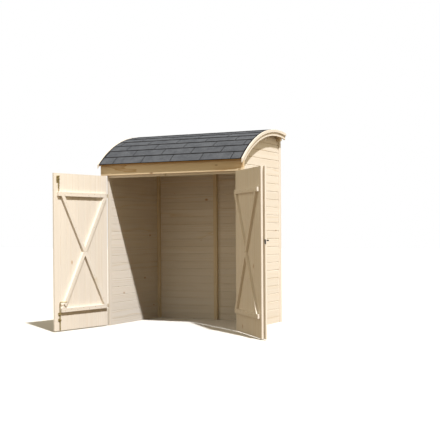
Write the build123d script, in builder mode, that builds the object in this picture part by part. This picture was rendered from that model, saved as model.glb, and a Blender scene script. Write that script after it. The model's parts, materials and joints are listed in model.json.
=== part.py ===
from build123d import *
import os
from math import asin, cos, degrees, radians, sin, sqrt

# Timber bike shelter with an arched roof and two ledged and braced doors.
# X runs along the front, Y from the doors to the back wall, Z up, in millimetres.
# The origin is on the ground, under the middle of the back wall.

# Walls
wallWidth = 1650            # over the outer faces of the side walls
shelterDepth = 1125         # from the front of the jambs to the outer face of the back
wallThickness = 24
jambDepth = 45
baseRailHeight = 70
postSize = 34
studWidth = 45
cornerStripWidth = 48
cornerStripThickness = 12

# Roof
roofRadius = 1384           # outer face of the deck
deckThickness = 18
crownBehindFront = 885      # the crown of the arch lies this far behind the jambs' front
crownOverDoors = 509        # top of the deck at the crown, over the top of the doors
eaveOverhang = 68           # deck in front of the jambs
sideOverhang = 70           # deck beyond the side walls
shingleDrip = 12            # first course beyond the deck's front edge
courseCount = 12
shingleButt = 9
shingleHead = 4
gableTrimThickness = 12
gableTrimHeight = 32
gableTrimRise = 8           # trim above the deck
bargeThickness = 16         # curved boards under the deck's ends
bargeHeight = 46            # measured square to the arch
purlinWidth = 34
purlinHeight = 77
purlinFromBack = 86

# Front over the doors
headBoardDrop = 21          # head board below the top of the doors
fasciaThickness = 28
fasciaGap = 6               # over the doors
boltNotchWidth = 26
boltNotchDepth = 18
boltNotchHeight = 30

# Doors
doorHeight = 1680
doorGroundGap = 12
doorBoardThickness = 22
hingeSideGap = 3            # hinge axis outside the wall's face
jambGap = 6                 # shut leaf to the jamb's front
leafToAxis = 4
leavesGap = 8
ledgeThickness = 25
ledgeHeight = 45
topLedgeDrop = 200          # top of the upper ledge under the top of the door
bottomLedgeRise = 193       # foot of the lower ledge over the foot of the door
ledgeFreeMargin = 45
ledgeJambGap = 6
braceWidth = 50             # measured level
braceHingeEnd = 57          # middle of a brace's end from the hinge axis
braceFreeEnd = 115          # middle of a brace's end from the free edge
leftOpenAngle = 99.5
rightOpenAngle = 133

# Strap hinges, with their pins at the outer corners of the shut doors
hingeHeight = 40
hingePlateDepth = 26        # fixed plate on the side wall
hingePlateThickness = 2
strapLength = 210
strapRoot = 34
strapTip = 18
knuckleRadius = 4
knuckleGap = 0.5
knuckleRecess = 2           # plate and strap stop this far short of the other's knuckles

# Meeting strip on the right leaf
stripWidth = 45             # on the leaf
stripLap = 42               # past the leaf's edge
stripThickness = 20
stripRebate = 5

# Handle and lock
lockHeight = 968
lockFromEdge = 22
roseRadius = 16
roseThickness = 6
spindleRadius = 6
spindleLength = 34
leverLength = 72
leverWidth = 14
leverThickness = 10
lockPlateHeight = 44
lockPlateRise = 10          # over the spindle
lockPlateWidth = 34         # on the inside of the strip's lap, flush with it
lockPlateReturn = 8         # on the strip's edge
lockPlateThickness = 2

# Barrel bolt at the top of the left leaf
topBoltFromEdge = 59
topBoltPlateWidth = 46
topBoltPlateHeight = 76
topBoltTopDrop = 28
boltPlateThickness = 2
topBoltRadius = 5
topBoltStandoff = 13        # plate to the bolt's axis
topBoltTail = 86            # bolt below its plate
topBoltKnobRadius = 8
topBoltKnobHeight = 34
topBoltKnobGap = 6          # under the plate
topBoltRoom = 34            # under the lower guide, for the knob to rise in
topBoltKnobTaper = 4
plateCorner = 4
guideHeight = 10
guideWall = 3
guideGap = 1

# Drop bolt at the foot of the left leaf
dropBoltFromEdge = 68
dropBoltRadius = 6
dropBoltStandoff = 8
dropBoltTop = 317           # height of its handle over the ground
dropBoltTip = 13
dropBoltHandle = 76
dropBoltHandleTurn = 45     # its handle points between the hinge side and the room
dropGuideHeights = (124, 186)
dropGuideHeight = 16
dropPlateWidth = 40
dropPlateHeight = 34
dropBoltBend = 14
ledgeRodGap = 15

# Worked out
halfWidth = wallWidth / 2
innerHalf = halfWidth - wallThickness
backY = wallThickness / 2                       # outer face of the back wall
frontY = backY - shelterDepth                   # front of the jambs
arcY = frontY + crownBehindFront
deckInner = roofRadius - deckThickness
roofHalf = halfWidth + sideOverhang
bargeInner = roofHalf - bargeThickness
doorTop = doorGroundGap + doorHeight
crownHeight = doorTop + crownOverDoors
arcZ = crownHeight - roofRadius
axisX = halfWidth + hingeSideGap
axisY = frontY - jambGap - doorBoardThickness - knuckleRadius
leafEnd = axisX - leavesGap / 2
purlinY = backY - purlinFromBack

os.makedirs("parts", exist_ok=True)


def save(piece, name):
    piece.part.label = name
    export_step(piece.part, f"parts/{name}.step")


def arcPoint(radius, angle):
    """Point of the roof's arch, at an angle from the crown towards the back."""
    return (arcY + radius * sin(radians(angle)), arcZ + radius * cos(radians(angle)))


def arcAngle(radius, y):
    return degrees(asin((y - arcY) / radius))


def arcHeight(radius, y):
    return arcZ + sqrt(radius**2 - (y - arcY) ** 2)


def archLine(radius, startAngle, endAngle):
    middle = (startAngle + endAngle) / 2
    return ThreePointArc(
        arcPoint(radius, startAngle), arcPoint(radius, middle), arcPoint(radius, endAngle)
    )


def wallProfile(startY, endY, foot):
    """Wall seen from the side: square at the foot, with the underside of the roof on top."""
    startTop = (startY, arcHeight(deckInner, startY))
    endTop = (endY, arcHeight(deckInner, endY))
    middleY = (startY + endY) / 2
    ThreePointArc(startTop, (middleY, arcHeight(deckInner, middleY)), endTop)
    Polyline(endTop, (endY, foot), (startY, foot), startTop)


# Side walls, with the arch cut into their tops and the purlin let through them
for side, sideName in ((-1, "left"), (1, "right")):
    innerFace = side * innerHalf
    outward = side * wallThickness

    with BuildPart() as sideWall:
        with BuildSketch(Plane.YZ.offset(innerFace)):
            with BuildLine():
                wallProfile(frontY + jambDepth, backY, baseRailHeight)
            make_face()
        extrude(amount=outward)
        with BuildSketch(Plane.YZ.offset(innerFace)):
            with BuildLine():
                Polyline(
                    (purlinY - purlinWidth / 2, arcHeight(deckInner, purlinY) - purlinHeight),
                    (purlinY + purlinWidth / 2, arcHeight(deckInner, purlinY) - purlinHeight),
                    (purlinY + purlinWidth / 2, crownHeight),
                    (purlinY - purlinWidth / 2, crownHeight),
                    close=True,
                )
            make_face()
        extrude(amount=outward, mode=Mode.SUBTRACT)
    save(sideWall, f"{sideName}_side_wall")

    with BuildPart() as baseRail:
        with BuildSketch(Plane.YZ.offset(innerFace)):
            with Locations(((frontY + jambDepth + backY) / 2, baseRailHeight / 2)):
                Rectangle(shelterDepth - jambDepth, baseRailHeight)
        extrude(amount=outward)
    save(baseRail, f"{sideName}_base_rail")

    with BuildPart() as jamb:
        with BuildSketch(Plane.YZ.offset(innerFace)):
            with BuildLine():
                wallProfile(frontY, frontY + jambDepth, 0)
            make_face()
        extrude(amount=outward)
    save(jamb, f"{sideName}_jamb")

    with BuildPart() as rearPost:
        with BuildSketch(Plane.YZ.offset(innerFace)):
            with BuildLine():
                wallProfile(backY - wallThickness - postSize, backY - wallThickness, 0)
            make_face()
        extrude(amount=-side * postSize)
    save(rearPost, f"{sideName}_rear_post")

    with BuildPart() as cornerStrip:
        with BuildSketch(Plane.YZ.offset(side * halfWidth)):
            with BuildLine():
                wallProfile(backY - cornerStripWidth, backY, 0)
            make_face()
        extrude(amount=side * cornerStripThickness)
    save(cornerStrip, f"{sideName}_corner_strip")

# Back wall in two panels, with its rail and the stud over their joint
for side, sideName in ((-1, "left"), (1, "right")):
    with BuildPart() as backPanel:
        with BuildSketch(Plane.YZ):
            with BuildLine():
                wallProfile(backY - wallThickness, backY, baseRailHeight)
            make_face()
        extrude(amount=side * innerHalf)
    save(backPanel, f"back_wall_{sideName}")

with BuildPart() as backRail:
    with BuildSketch(Plane.XZ.offset(-backY)):
        with Locations((0, baseRailHeight / 2)):
            Rectangle(2 * innerHalf, baseRailHeight)
    extrude(amount=wallThickness)
save(backRail, "back_base_rail")

with BuildPart() as centreStud:
    with BuildSketch(Plane.YZ.offset(-studWidth / 2)):
        with BuildLine():
            wallProfile(backY - wallThickness - postSize, backY - wallThickness, 0)
        make_face()
    extrude(amount=studWidth)
save(centreStud, "centre_rear_stud")

# Head board over the opening, with the notch that takes the barrel bolt
boltX = -(leavesGap / 2 + topBoltFromEdge)
headFoot = doorTop - headBoardDrop
with BuildPart() as headBoard:
    with BuildSketch(Plane.YZ.offset(-innerHalf)):
        with BuildLine():
            wallProfile(frontY, frontY + wallThickness, headFoot)
        make_face()
    extrude(amount=2 * innerHalf)
    with BuildSketch(Plane.XY.offset(headFoot)):
        with Locations((boltX, frontY + boltNotchDepth / 2)):
            Rectangle(boltNotchWidth, boltNotchDepth)
    extrude(amount=boltNotchHeight, mode=Mode.SUBTRACT)
save(headBoard, "head_board")

with BuildPart() as fascia:
    with BuildSketch(Plane.YZ.offset(-roofHalf)):
        with BuildLine():
            wallProfile(frontY - fasciaThickness, frontY, doorTop + fasciaGap)
        make_face()
    extrude(amount=2 * roofHalf)
save(fascia, "fascia_board")

# Roof: purlin, curved deck, lapped shingles, and bent trims and barge boards on the gables
with BuildPart() as purlin:
    with BuildSketch(Plane.YZ.offset(-bargeInner)):
        with BuildLine():
            wallProfile(
                purlinY - purlinWidth / 2,
                purlinY + purlinWidth / 2,
                arcHeight(deckInner, purlinY) - purlinHeight,
            )
        make_face()
    extrude(amount=2 * bargeInner)
save(purlin, "roof_purlin")

deckStart = arcAngle(roofRadius, frontY - eaveOverhang)
deckEnd = arcAngle(roofRadius, backY)
with BuildPart() as deck:
    with BuildSketch(Plane.YZ.offset(-roofHalf)):
        with BuildLine():
            archLine(roofRadius, deckStart, deckEnd)
            archLine(deckInner, deckStart, deckEnd)
            Line(arcPoint(roofRadius, deckStart), arcPoint(deckInner, deckStart))
            Line(arcPoint(roofRadius, deckEnd), arcPoint(deckInner, deckEnd))
        make_face()
    extrude(amount=2 * roofHalf)
save(deck, "roof_deck")

shingleStart = arcAngle(roofRadius, frontY - eaveOverhang - shingleDrip)
courseAngle = (deckEnd - shingleStart) / courseCount
buttRadius = roofRadius + shingleButt
headRadius = roofRadius + shingleHead
with BuildPart() as shingles:
    with BuildSketch(Plane.YZ.offset(-roofHalf)):
        with BuildLine():
            # Each course is thick at its lower edge and thin where the next one laps it
            for course in range(courseCount):
                lower = shingleStart + course * courseAngle
                upper = lower + courseAngle
                lowerRadius = headRadius if course else roofRadius
                Line(arcPoint(lowerRadius, lower), arcPoint(buttRadius, lower))
                ThreePointArc(
                    arcPoint(buttRadius, lower),
                    arcPoint((buttRadius + headRadius) / 2, (lower + upper) / 2),
                    arcPoint(headRadius, upper),
                )
            Line(arcPoint(headRadius, deckEnd), arcPoint(roofRadius, deckEnd))
            archLine(roofRadius, deckEnd, shingleStart)
        make_face()
    extrude(amount=2 * roofHalf)
save(shingles, "shingle_covering")

trimOuter = roofRadius + gableTrimRise
trimInner = trimOuter - gableTrimHeight
for side, sideName in ((-1, "left"), (1, "right")):
    with BuildPart() as gableTrim:
        with BuildSketch(Plane.YZ.offset(side * roofHalf)):
            with BuildLine():
                archLine(trimOuter, shingleStart, deckEnd)
                archLine(trimInner, shingleStart, deckEnd)
                Line(arcPoint(trimOuter, shingleStart), arcPoint(trimInner, shingleStart))
                Line(arcPoint(trimOuter, deckEnd), arcPoint(trimInner, deckEnd))
            make_face()
        extrude(amount=side * gableTrimThickness)
    save(gableTrim, f"{sideName}_gable_trim")

    # Barge board behind the trim, cut plumb at the back of the fascia and at its rear end
    bargeStart = arcPoint(deckInner, arcAngle(deckInner, frontY))
    bargeEnd = arcPoint(deckInner, deckEnd)
    bargeRadius = deckInner - bargeHeight
    with BuildPart() as bargeBoard:
        with BuildSketch(Plane.YZ.offset(side * bargeInner)):
            with BuildLine():
                archLine(deckInner, arcAngle(deckInner, frontY), deckEnd)
                archLine(bargeRadius, arcAngle(bargeRadius, bargeStart[0]), arcAngle(bargeRadius, bargeEnd[0]))
                Line(bargeStart, (bargeStart[0], arcHeight(bargeRadius, bargeStart[0])))
                Line(bargeEnd, (bargeEnd[0], arcHeight(bargeRadius, bargeEnd[0])))
            make_face()
        extrude(amount=side * bargeThickness)
    save(bargeBoard, f"{sideName}_barge_board")

# Doors. A leaf's plane has its origin on the hinge axis, x towards the free edge and y up.
# Depths are measured from the axis into the shelter, as they lie when the door is shut.


def leafPlane(side, depth):
    angle = radians(leftOpenAngle if side < 0 else rightOpenAngle)
    along = (-side * cos(angle), -sin(angle), 0)
    across = (-sin(angle), side * cos(angle), 0)
    return Plane(origin=(side * axisX, axisY, 0), x_dir=along, z_dir=across).offset(side * depth)


leafOuter = knuckleRadius
leafInner = leafOuter + doorBoardThickness
topLedgeFoot = doorTop - topLedgeDrop - ledgeHeight
bottomLedgeFoot = doorGroundGap + bottomLedgeRise
ledgeStart = hingeSideGap + wallThickness + ledgeJambGap
ledgeFull = leafEnd - ledgeFreeMargin
ledgeShort = leafEnd - dropBoltFromEdge - ledgeRodGap
braceFoot = bottomLedgeFoot + ledgeHeight
braceAxes = ((braceHingeEnd, leafEnd - braceFreeEnd), (leafEnd - braceFreeEnd, braceHingeEnd))


def bracePoints(footX, topX):
    """Corners of a brace seen from inside, with level ends that meet the ledges."""
    half = braceWidth / 2
    return (
        (footX - half, braceFoot),
        (footX + half, braceFoot),
        (topX + half, topLedgeFoot),
        (topX - half, topLedgeFoot),
    )


for side, sideName in ((-1, "left"), (1, "right")):
    with BuildPart() as boards:
        with BuildSketch(leafPlane(side, leafOuter)):
            with Locations(((leafToAxis + leafEnd) / 2, doorGroundGap + doorHeight / 2)):
                Rectangle(leafEnd - leafToAxis, doorHeight)
        extrude(amount=side * doorBoardThickness)
    save(boards, f"{sideName}_door_boards")

    bottomEnd = ledgeShort if side < 0 else ledgeFull
    for name, foot, end in (("top", topLedgeFoot, ledgeFull), ("bottom", bottomLedgeFoot, bottomEnd)):
        with BuildPart() as ledge:
            with BuildSketch(leafPlane(side, leafInner)):
                with Locations(((ledgeStart + end) / 2, foot + ledgeHeight / 2)):
                    Rectangle(end - ledgeStart, ledgeHeight)
            extrude(amount=side * ledgeThickness)
        save(ledge, f"{sideName}_door_{name}_ledge")

    # The braces cross in a half lap, each losing half its thickness
    for index, name in enumerate(("rising", "falling")):
        lapDepth = leafInner + (ledgeThickness / 2 if index == 0 else 0)
        with BuildPart() as brace:
            with BuildSketch(leafPlane(side, leafInner)):
                with BuildLine():
                    Polyline(*bracePoints(*braceAxes[index]), close=True)
                make_face()
            extrude(amount=side * ledgeThickness)
            with BuildSketch(leafPlane(side, lapDepth)):
                with BuildLine():
                    Polyline(*bracePoints(*braceAxes[1 - index]), close=True)
                make_face()
            extrude(amount=side * ledgeThickness / 2, mode=Mode.SUBTRACT)
        save(brace, f"{sideName}_door_{name}_brace")

# Strap hinges at the height of the ledges, with knuckles in three parts
hingeMiddles = (topLedgeFoot + ledgeHeight / 2, bottomLedgeFoot + ledgeHeight / 2)
knuckle = hingeHeight / 3
for side, sideName in ((-1, "left"), (1, "right")):
    with BuildPart() as frameHinges:
        for middle in hingeMiddles:
            with BuildSketch(Plane.YZ.offset(side * halfWidth)):
                with Locations(((axisY + frontY + hingePlateDepth) / 2, middle)):
                    Rectangle(frontY + hingePlateDepth - axisY, hingeHeight)
            extrude(amount=side * hingePlateThickness)
            with BuildSketch(Plane.XY.offset(middle - knuckle / 2 - knuckleGap)):
                with Locations((side * axisX, axisY)):
                    Rectangle(4 * knuckleRadius, 2 * (knuckleRadius + knuckleRecess))
            extrude(amount=knuckle + 2 * knuckleGap, mode=Mode.SUBTRACT)
            for foot in (middle - hingeHeight / 2, middle + knuckle / 2 + knuckleGap):
                with BuildSketch(Plane.XY.offset(foot)):
                    with Locations((side * axisX, axisY)):
                        Circle(knuckleRadius)
                extrude(amount=knuckle - knuckleGap)
    save(frameHinges, f"{sideName}_frame_hinges")

    with BuildPart() as doorHinges:
        for middle in hingeMiddles:
            with BuildSketch(leafPlane(side, leafOuter - hingePlateThickness)):
                with BuildLine():
                    Polyline(
                        (0, middle - strapRoot / 2),
                        (strapLength, middle - strapTip / 2),
                        (strapLength, middle + strapTip / 2),
                        (0, middle + strapRoot / 2),
                        close=True,
                    )
                make_face()
                with Locations((strapLength, middle)):
                    Circle(strapTip / 2)
            extrude(amount=side * hingePlateThickness)
            for foot in (middle - hingeHeight / 2, middle + knuckle / 2):
                with BuildSketch(Plane.XY.offset(foot - knuckleGap)):
                    with Locations((side * axisX, axisY)):
                        Circle(knuckleRadius + knuckleRecess)
                extrude(amount=knuckle + 2 * knuckleGap, mode=Mode.SUBTRACT)
            with BuildSketch(Plane.XY.offset(middle - knuckle / 2)):
                with Locations((side * axisX, axisY)):
                    Circle(knuckleRadius)
            extrude(amount=knuckle)
    save(doorHinges, f"{sideName}_door_hinges")

# Meeting strip on the outside of the right leaf, rebated where it laps over the left one,
# with an angle plate of the lock let into its free edge
lapInner = leafOuter - stripRebate
lapEnd = leafEnd + stripLap
lockPlateTop = lockHeight + lockPlateRise
lockPlateCorners = (
    (lapEnd, lockPlateTop),
    (lapEnd - lockPlateWidth, lockPlateTop),
    (lapEnd - lockPlateWidth / 2, lockPlateTop - lockPlateHeight),
    (lapEnd, lockPlateTop - lockPlateHeight),
)
with BuildPart() as meetingStrip:
    with BuildSketch(leafPlane(1, leafOuter - stripThickness)):
        with Locations((leafEnd + (stripLap - stripWidth) / 2, doorGroundGap + doorHeight / 2)):
            Rectangle(stripWidth + stripLap, doorHeight)
    extrude(amount=stripThickness)
    with BuildSketch(leafPlane(1, leafOuter - stripRebate)):
        with Locations((leafEnd + stripLap / 2, doorGroundGap + doorHeight / 2)):
            Rectangle(stripLap, doorHeight)
    extrude(amount=stripRebate, mode=Mode.SUBTRACT)
    with BuildSketch(leafPlane(1, lapInner - lockPlateThickness)):
        with BuildLine():
            Polyline(*lockPlateCorners, close=True)
        make_face()
    extrude(amount=lockPlateThickness, mode=Mode.SUBTRACT)
save(meetingStrip, "meeting_strip")

# Lock and its turning handle on the meeting strip
stripOuter = leafOuter - stripThickness
lockX = leafEnd - lockFromEdge
with BuildPart() as lockPlate:
    with BuildSketch(leafPlane(1, lapInner - lockPlateThickness)):
        with BuildLine():
            Polyline(*lockPlateCorners, close=True)
        make_face()
    extrude(amount=lockPlateThickness)
    with BuildSketch(leafPlane(1, lapInner - lockPlateReturn)):
        with Locations((lapEnd + lockPlateThickness / 2, lockPlateTop - lockPlateHeight / 2)):
            Rectangle(lockPlateThickness, lockPlateHeight)
    extrude(amount=lockPlateReturn)
save(lockPlate, "lock_front_plate")

with BuildPart() as rose:
    with BuildSketch(leafPlane(1, stripOuter - roseThickness)):
        with Locations((lockX, lockHeight)):
            Circle(roseRadius)
            Circle(spindleRadius + knuckleGap, mode=Mode.SUBTRACT)
    extrude(amount=roseThickness)
save(rose, "handle_rose")

with BuildPart() as handle:
    with BuildSketch(leafPlane(1, stripOuter - spindleLength)):
        with Locations((lockX, lockHeight)):
            Circle(spindleRadius)
    extrude(amount=spindleLength)
    with BuildSketch(leafPlane(1, stripOuter - spindleLength - leverThickness)):
        with Locations((lockX - (leverLength - leverWidth) / 2, lockHeight)):
            SlotOverall(leverLength, leverWidth)
    extrude(amount=leverThickness)
save(handle, "turning_handle")

# Barrel bolt on the left leaf: a plate with two guides, and the bolt with its tapered knob
topBoltX = leafEnd - topBoltFromEdge
plateTop = doorTop - topBoltTopDrop
plateFoot = plateTop - topBoltPlateHeight
plateFace = leafInner + boltPlateThickness
topBoltDepth = plateFace + topBoltStandoff


def onLeaf(x, depth):
    """Place in plan of a rod that stands on the left leaf."""
    place = leafPlane(-1, depth).from_local_coords((x, 0, 0))
    return (place.X, place.Y)


topBoltPlace = onLeaf(topBoltX, topBoltDepth)
topGuideWidth = 2 * (topBoltRadius + guideGap + guideWall)
with BuildPart() as topBoltPlate:
    with BuildSketch(leafPlane(-1, leafInner)):
        with Locations((topBoltX, plateFoot + topBoltPlateHeight / 2)):
            RectangleRounded(topBoltPlateWidth, topBoltPlateHeight, plateCorner)
    extrude(amount=-boltPlateThickness)
    for foot in (plateFoot + topBoltRoom, plateTop - guideHeight):
        with BuildSketch(leafPlane(-1, plateFace)):
            with Locations((topBoltX, foot + guideHeight / 2)):
                Rectangle(topGuideWidth, guideHeight)
        extrude(amount=-(topBoltStandoff + topGuideWidth / 2))
    with BuildSketch(Plane.XY.offset(plateFoot)):
        with Locations(topBoltPlace):
            Circle(topBoltRadius + guideGap)
    extrude(amount=topBoltPlateHeight, mode=Mode.SUBTRACT)
save(topBoltPlate, "top_bolt_plate")

with BuildPart() as topBolt:
    with BuildSketch(Plane.XY.offset(plateFoot - topBoltTail)):
        with Locations(topBoltPlace):
            Circle(topBoltRadius)
    extrude(amount=topBoltTail + topBoltPlateHeight)
    with BuildSketch(Plane.XY.offset(plateFoot - topBoltKnobGap)):
        with Locations(topBoltPlace):
            Circle(topBoltKnobRadius)
    extrude(amount=-topBoltKnobHeight, taper=topBoltKnobTaper)
save(topBolt, "top_bolt")

# Drop bolt at the foot of the left leaf: two guides, and a rod with a bent handle
dropBoltX = leafEnd - dropBoltFromEdge
dropBoltDepth = plateFace + dropBoltStandoff
dropBoltPlace = onLeaf(dropBoltX, dropBoltDepth)
dropGuideWidth = 2 * (dropBoltRadius + guideGap + guideWall)
with BuildPart() as dropGuides:
    for middle in dropGuideHeights:
        with BuildSketch(leafPlane(-1, leafInner)):
            with Locations((dropBoltX, middle)):
                RectangleRounded(dropPlateWidth, dropPlateHeight, plateCorner)
        extrude(amount=-boltPlateThickness)
        with BuildSketch(leafPlane(-1, plateFace)):
            with Locations((dropBoltX, middle)):
                Rectangle(dropGuideWidth, dropGuideHeight)
        extrude(amount=-(dropBoltStandoff + dropGuideWidth / 2))
        with BuildSketch(Plane.XY.offset(middle - dropPlateHeight / 2)):
            with Locations(dropBoltPlace):
                Circle(dropBoltRadius + guideGap)
        extrude(amount=dropPlateHeight, mode=Mode.SUBTRACT)
save(dropGuides, "drop_bolt_guides")

rodPlane = leafPlane(-1, dropBoltDepth)
rodTip = rodPlane.from_local_coords((dropBoltX, dropBoltTip, 0))
rodTop = rodPlane.from_local_coords((dropBoltX, dropBoltTop, 0))
handleAlong = dropBoltHandle * cos(radians(dropBoltHandleTurn))
handleInward = dropBoltHandle * sin(radians(dropBoltHandleTurn))
handleEnd = rodPlane.from_local_coords((dropBoltX - handleAlong, dropBoltTop, -handleInward))
with BuildPart() as dropBolt:
    with BuildLine() as rodPath:
        FilletPolyline(rodTip, rodTop, handleEnd, radius=dropBoltBend)
    with BuildSketch(Plane.XY.offset(dropBoltTip)):
        with Locations(dropBoltPlace):
            Circle(dropBoltRadius)
    sweep(path=rodPath.wires()[0])
save(dropBolt, "drop_bolt")
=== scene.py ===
import json
import math
import bpy
import bmesh
import numpy as np
from mathutils import Matrix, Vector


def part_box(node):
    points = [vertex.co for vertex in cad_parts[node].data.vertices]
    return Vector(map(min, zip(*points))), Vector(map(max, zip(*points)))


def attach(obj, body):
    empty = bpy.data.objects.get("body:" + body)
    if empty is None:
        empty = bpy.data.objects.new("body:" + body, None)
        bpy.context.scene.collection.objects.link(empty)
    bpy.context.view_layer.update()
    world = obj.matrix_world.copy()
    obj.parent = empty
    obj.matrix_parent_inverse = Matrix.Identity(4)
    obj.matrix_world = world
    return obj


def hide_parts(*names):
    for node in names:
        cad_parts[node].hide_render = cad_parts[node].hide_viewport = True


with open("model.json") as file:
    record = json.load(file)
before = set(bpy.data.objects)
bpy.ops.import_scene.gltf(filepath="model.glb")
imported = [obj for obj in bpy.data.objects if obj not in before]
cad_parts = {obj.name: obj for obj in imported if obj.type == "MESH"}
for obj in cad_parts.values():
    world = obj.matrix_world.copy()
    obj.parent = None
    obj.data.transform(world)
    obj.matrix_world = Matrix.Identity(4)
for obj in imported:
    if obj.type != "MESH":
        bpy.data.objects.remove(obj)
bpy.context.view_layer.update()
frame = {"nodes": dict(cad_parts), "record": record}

rng = np.random.default_rng(11)
sides = ((-1, "left"), (1, "right"))

# Main places, in metres, read from the solids where they are plain boxes
shelter = {
    "halfWidth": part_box("right_side_wall")[1][0],
    "innerHalf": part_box("right_side_wall")[0][0],
    "frontY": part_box("right_jamb")[0][1],
    "backY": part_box("back_wall_left")[1][1],
    "railTop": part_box("left_base_rail")[1][2],
    "crown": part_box("roof_deck")[1][2],
    "deckHalf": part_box("roof_deck")[1][0],
    "deckRadius": 1.384,        # outer face of the curved deck
    "deckThickness": 0.018,
    "crownBehindFront": 0.885,
    "eaveOverhang": 0.068,
    "shingleDrip": 0.003,
}
arcY = shelter["frontY"] + shelter["crownBehindFront"]
arcZ = shelter["crown"] - shelter["deckRadius"]
deckInner = shelter["deckRadius"] - shelter["deckThickness"]

# Doors, measured from the hinge pins
doors = {
    "pinX": 0.828,
    "pinY": shelter["frontY"] - 0.032,
    "outer": 0.004,             # depth of the boards' outer face from the pin
    "inner": 0.026,
    "hingeEdge": 0.004,
    "freeEdge": 0.824,
    "foot": 0.012,
    "top": 1.692,
    "openAngle": {
        joint["child"]: joint["range_deg"][1]
        for joint in frame["record"]["behaviour"]["joints"]
        if joint["child"] in ("left_door", "right_door")
    },
}


def hexToLinear(code):
    srgb = np.array([int(code[i:i + 2], 16) / 255 for i in (1, 3, 5)])
    linear = np.where(srgb <= 0.04045, srgb / 12.92, ((srgb + 0.055) / 1.055) ** 2.4)
    return (*linear.tolist(), 1.0)


# settings go by attribute or socket name, links as socket: (node, output);
# a colour mix takes its factor at 0 and its two colours at 6 and 7, and gives its result at 2
def addNode(tree, kind, settings=None, links=None):
    node = tree.nodes.new(kind)
    for key, value in (settings or {}).items():
        if isinstance(key, str) and hasattr(node, key):
            setattr(node, key, value)
        else:
            node.inputs[key].default_value = value
    for key, (source, output) in (links or {}).items():
        tree.links.new(source.outputs[output], node.inputs[key])
    return node


def newMaterial(name):
    material = bpy.data.materials.new(name)
    material.use_nodes = True
    tree = material.node_tree
    tree.nodes.clear()
    return material, tree


def fillRamp(node, stops):
    ramp = node.color_ramp
    while len(ramp.elements) > 1:
        ramp.elements.remove(ramp.elements[-1])
    ramp.elements[0].position, ramp.elements[0].color = stops[0]
    for place, colour in stops[1:]:
        ramp.elements.new(place).color = colour


woods = {
    "planedSpruce": {"light": "#E9E1D6", "dark": "#DFD1BB", "knot": "#B9946A", "ring": 0.011, "rough": 0.62},
    "fasciaSpruce": {"light": "#E5D2B2", "dark": "#C9A97D", "knot": "#8A6038", "ring": 0.013, "rough": 0.60},
    "framingSpruce": {"light": "#E2D2B6", "dark": "#CFBA94", "knot": "#8A6640", "ring": 0.014, "rough": 0.70},
}
# each scale is in cells per metre, along the grain and twice across it
woodPattern = {
    "heart": (0.8, 4.0, 4.0),           # bends of the heart line
    "stray": (0.0, 0.055, 0.035),       # how far it bends, in metres
    "rings": (0.02, 1.0, 1.0),
    "waveWidth": 0.314,                 # width in metres of a ring wave of scale 1
    "fibres": (14.0, 620.0, 620.0),     # about 1 mm wide and 60 mm long
    "streaks": (0.9, 34.0, 34.0),       # broad enough to show from some metres away
    "streakDark": (0.965, 0.945, 0.905, 1.0),
    "streakLight": (1.02, 1.02, 1.0, 1.0),
    "streakShare": 0.8,
    "knots": (5.0, 9.5, 9.5),           # a cell is 0.2 m long and 0.1 m across
    "knotEye": (0.05, 0.15),            # a knot's dark middle and its edge, in parts of a cell
    "knotDepth": 0.8,
    "knotFree": 0.88,                   # share of the cells without a knot
    "boardTone": (0.965, 1.02),         # darkest and lightest board
}


# place in the board's own wood, moved aside as the heart line wanders along the board
def heartLine(tree, grain):
    slow = addNode(tree, "ShaderNodeMapping", {"Scale": woodPattern["heart"]},
                   {"Vector": (grain, "Vector")})
    wander = addNode(tree, "ShaderNodeTexNoise", {"Scale": 1.0, "Detail": 2.0},
                     {"Vector": (slow, "Vector")})
    return addNode(tree, "ShaderNodeVectorMath", {"operation": "MULTIPLY_ADD", 1: woodPattern["stray"]},
                   {0: (wander, "Color"), 2: (grain, "Vector")})


# an oval brown eye of 10 to 20 mm in a few of the cells
def knotMask(tree, heart):
    spread = addNode(tree, "ShaderNodeMapping", {"Scale": woodPattern["knots"]},
                     {"Vector": (heart, "Vector")})
    cells = addNode(tree, "ShaderNodeTexVoronoi", {"Scale": 1.0, "Randomness": 1.0},
                    {"Vector": (spread, "Vector")})
    middle, edge = woodPattern["knotEye"]
    eye = addNode(tree, "ShaderNodeMapRange",
                  {"From Min": middle, "From Max": edge, "To Min": woodPattern["knotDepth"], "To Max": 0.0},
                  {"Value": (cells, "Distance")})
    chosen = addNode(tree, "ShaderNodeSeparateColor", {}, {"Color": (cells, "Color")})
    some = addNode(tree, "ShaderNodeMath", {"operation": "GREATER_THAN", 1: woodPattern["knotFree"]},
                   {0: (chosen, "Red")})
    return addNode(tree, "ShaderNodeMath", {"operation": "MULTIPLY"},
                   {0: (eye, "Result"), 1: (some, "Value")})


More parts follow.
